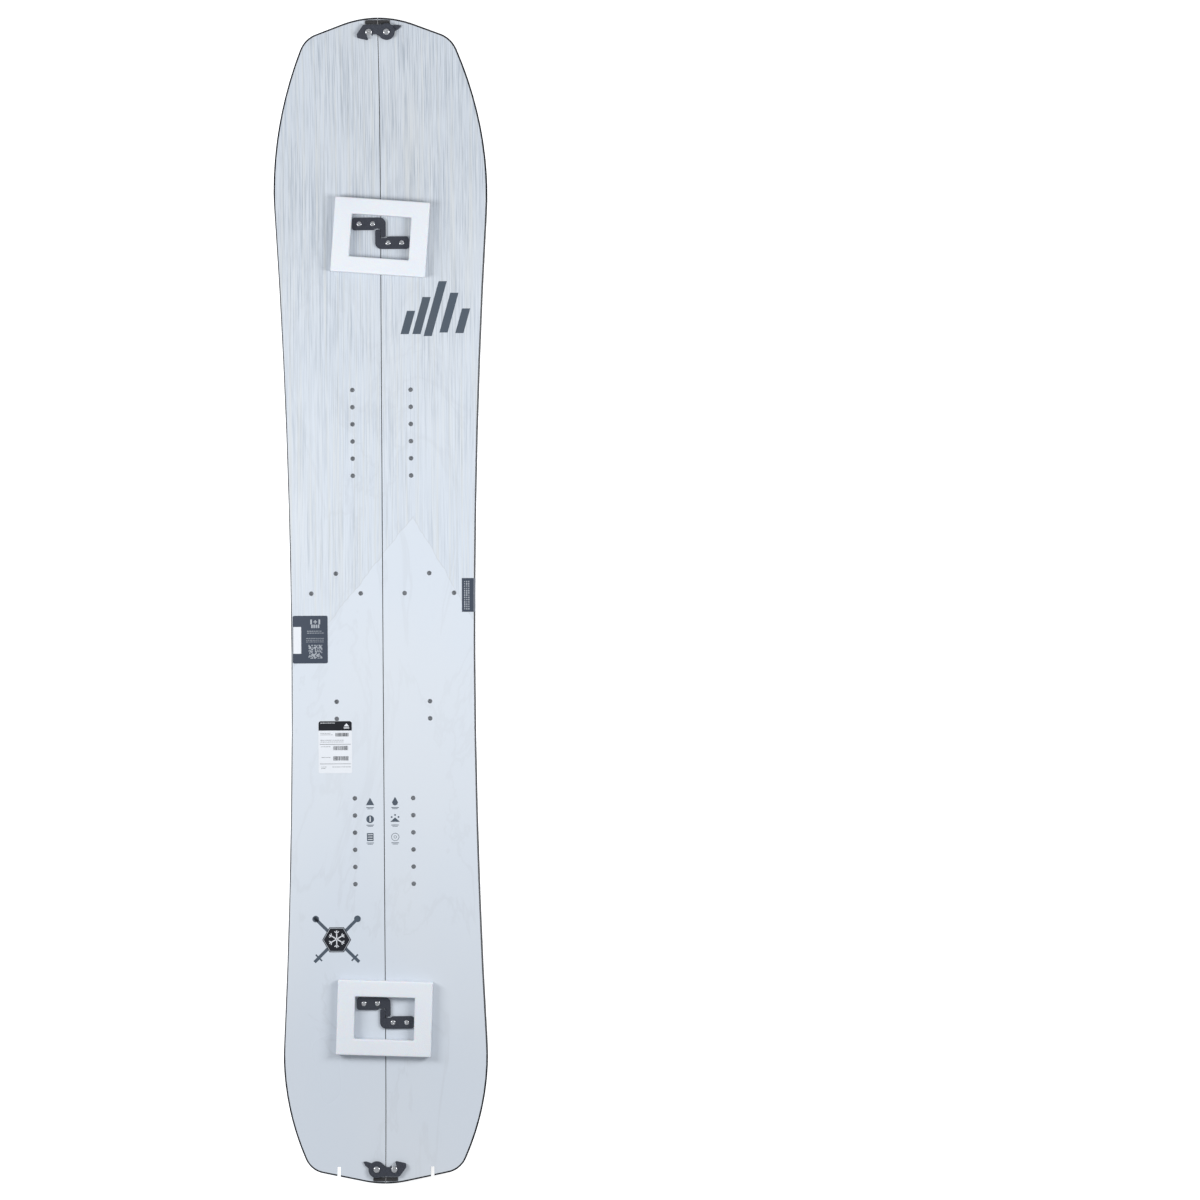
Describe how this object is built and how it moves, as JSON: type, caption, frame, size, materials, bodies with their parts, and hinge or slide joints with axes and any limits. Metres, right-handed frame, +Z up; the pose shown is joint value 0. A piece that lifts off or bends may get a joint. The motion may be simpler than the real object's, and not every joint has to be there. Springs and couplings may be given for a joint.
{
  "type": "splitboard",
  "caption": "Splitboard: a snowboard sawn lengthwise into two touring skis, joined by S hooks and tip clips, with binding inserts and foam hook guards.",
  "frame": {"origin": "centre of the bounding box's bottom face: midway along and across the joined board, on the floor it lies on", "axes": "+Y towards the nose, +X towards the right half as seen from above, +Z up from base to deck"},
  "size_m": [0.312, 1.69, 0.0499],
  "materials": {
    "base_pale": "sintered polyethylene, satin",
    "base_black": "sintered polyethylene, satin",
    "inlay_dark": "sintered polyethylene, satin",
    "inlay_pale": "sintered polyethylene, satin",
    "steel_edge": "ground steel",
    "fibre_laminate": "glass fibre in resin",
    "wood_core": "vertically laminated strips",
    "abs_sidewall": "machined ABS",
    "abs_spacer": "machined ABS",
    "topsheet": "pale, streaked like wood grain, satin",
    "insert_steel": "stainless",
    "screw_steel": "polished stainless",
    "hook_black": "black anodised",
    "lever_black": "black anodised",
    "post_steel": "polished stainless",
    "protector_rubber": "ribbed",
    "guard_foam": "white polyethylene foam",
    "label_paper": "coated paper",
    "label_dark": "printed film",
    "tag_card": "kraft card"
  },
  "bodies": {
    "left_half": {"left_base": "base_pale", "left_base_inlays": "inlay_dark", "left_outer_edge": "steel_edge", "left_inner_edge": "steel_edge", "left_lower_laminate": "fibre_laminate", "left_core": "wood_core", "left_outer_sidewall": "abs_sidewall", "left_inner_sidewall": "abs_sidewall", "left_nose_spacer": "abs_spacer", "left_tail_spacer": "abs_spacer", "left_upper_laminate": "fibre_laminate", "left_topsheet": "topsheet", "left_puck_inserts": "insert_steel", "left_tour_inserts": "insert_steel", "left_hardware_nuts": "insert_steel", "left_hook_screws": "screw_steel", "front_left_hook": "hook_black", "rear_left_hook": "hook_black", "nose_catch_post": "post_steel", "nose_left_protector": "protector_rubber", "tail_pivot_post": "post_steel", "tail_left_protector": "protector_rubber", "price_label": "label_paper", "care_label": "label_dark", "hang_tag": "tag_card"},
    "right_half": {"right_base": "base_black", "right_base_inlays": "inlay_pale", "right_outer_edge": "steel_edge", "right_inner_edge": "steel_edge", "right_lower_laminate": "fibre_laminate", "right_core": "wood_core", "right_outer_sidewall": "abs_sidewall", "right_inner_sidewall": "abs_sidewall", "right_nose_spacer": "abs_spacer", "right_tail_spacer": "abs_spacer", "right_upper_laminate": "fibre_laminate", "right_topsheet": "topsheet", "right_puck_inserts": "insert_steel", "right_tour_inserts": "insert_steel", "right_hardware_nuts": "insert_steel", "right_hook_screws": "screw_steel", "front_right_hook": "hook_black", "rear_right_hook": "hook_black", "nose_pivot_post": "post_steel", "nose_right_protector": "protector_rubber", "tail_catch_post": "post_steel", "tail_right_protector": "protector_rubber", "edge_label": "label_dark"},
    "nose_lever": {"nose_lever": "lever_black"},
    "nose_tension_tab": {"nose_tension_tab": "lever_black"},
    "tail_lever": {"tail_lever": "lever_black"},
    "tail_tension_tab": {"tail_tension_tab": "lever_black"},
    "front_foam_guard": {"front_foam_guard": "guard_foam"},
    "rear_foam_guard": {"rear_foam_guard": "guard_foam"}
  },
  "joints": [
    {"name": "apart", "type": "slide", "parent": "left_half", "child": "right_half", "axis": [1, 0, 0], "range_m": [0, 0.5]},
    {"name": "nose_lever_swing", "type": "hinge", "parent": "right_half", "child": "nose_lever", "pos_m": [0.0128, 0.826, 0.04176], "axis": [0, -0.276, 0.9612], "range_deg": [-110, 0]},
    {"name": "nose_tab_swing", "type": "hinge", "parent": "right_half", "child": "nose_tension_tab", "pos_m": [0.0128, 0.826, 0.04176], "axis": [0, -0.276, 0.9612], "range_deg": [-80, 10]},
    {"name": "tail_lever_swing", "type": "hinge", "parent": "left_half", "child": "tail_lever", "pos_m": [-0.0128, -0.825, 0.02386], "axis": [0, 0.1677, 0.9858], "range_deg": [-110, 0]},
    {"name": "tail_tab_swing", "type": "hinge", "parent": "left_half", "child": "tail_tension_tab", "pos_m": [-0.0128, -0.825, 0.02386], "axis": [0, 0.1677, 0.9858], "range_deg": [-30, 60]},
    {"name": "front_guard_lift", "type": "slide", "parent": "left_half", "child": "front_foam_guard", "axis": [0, 0, 1], "range_m": [0, 0.06]},
    {"name": "rear_guard_lift", "type": "slide", "parent": "left_half", "child": "rear_foam_guard", "axis": [0, 0, 1], "range_m": [0, 0.06]}
  ]
}
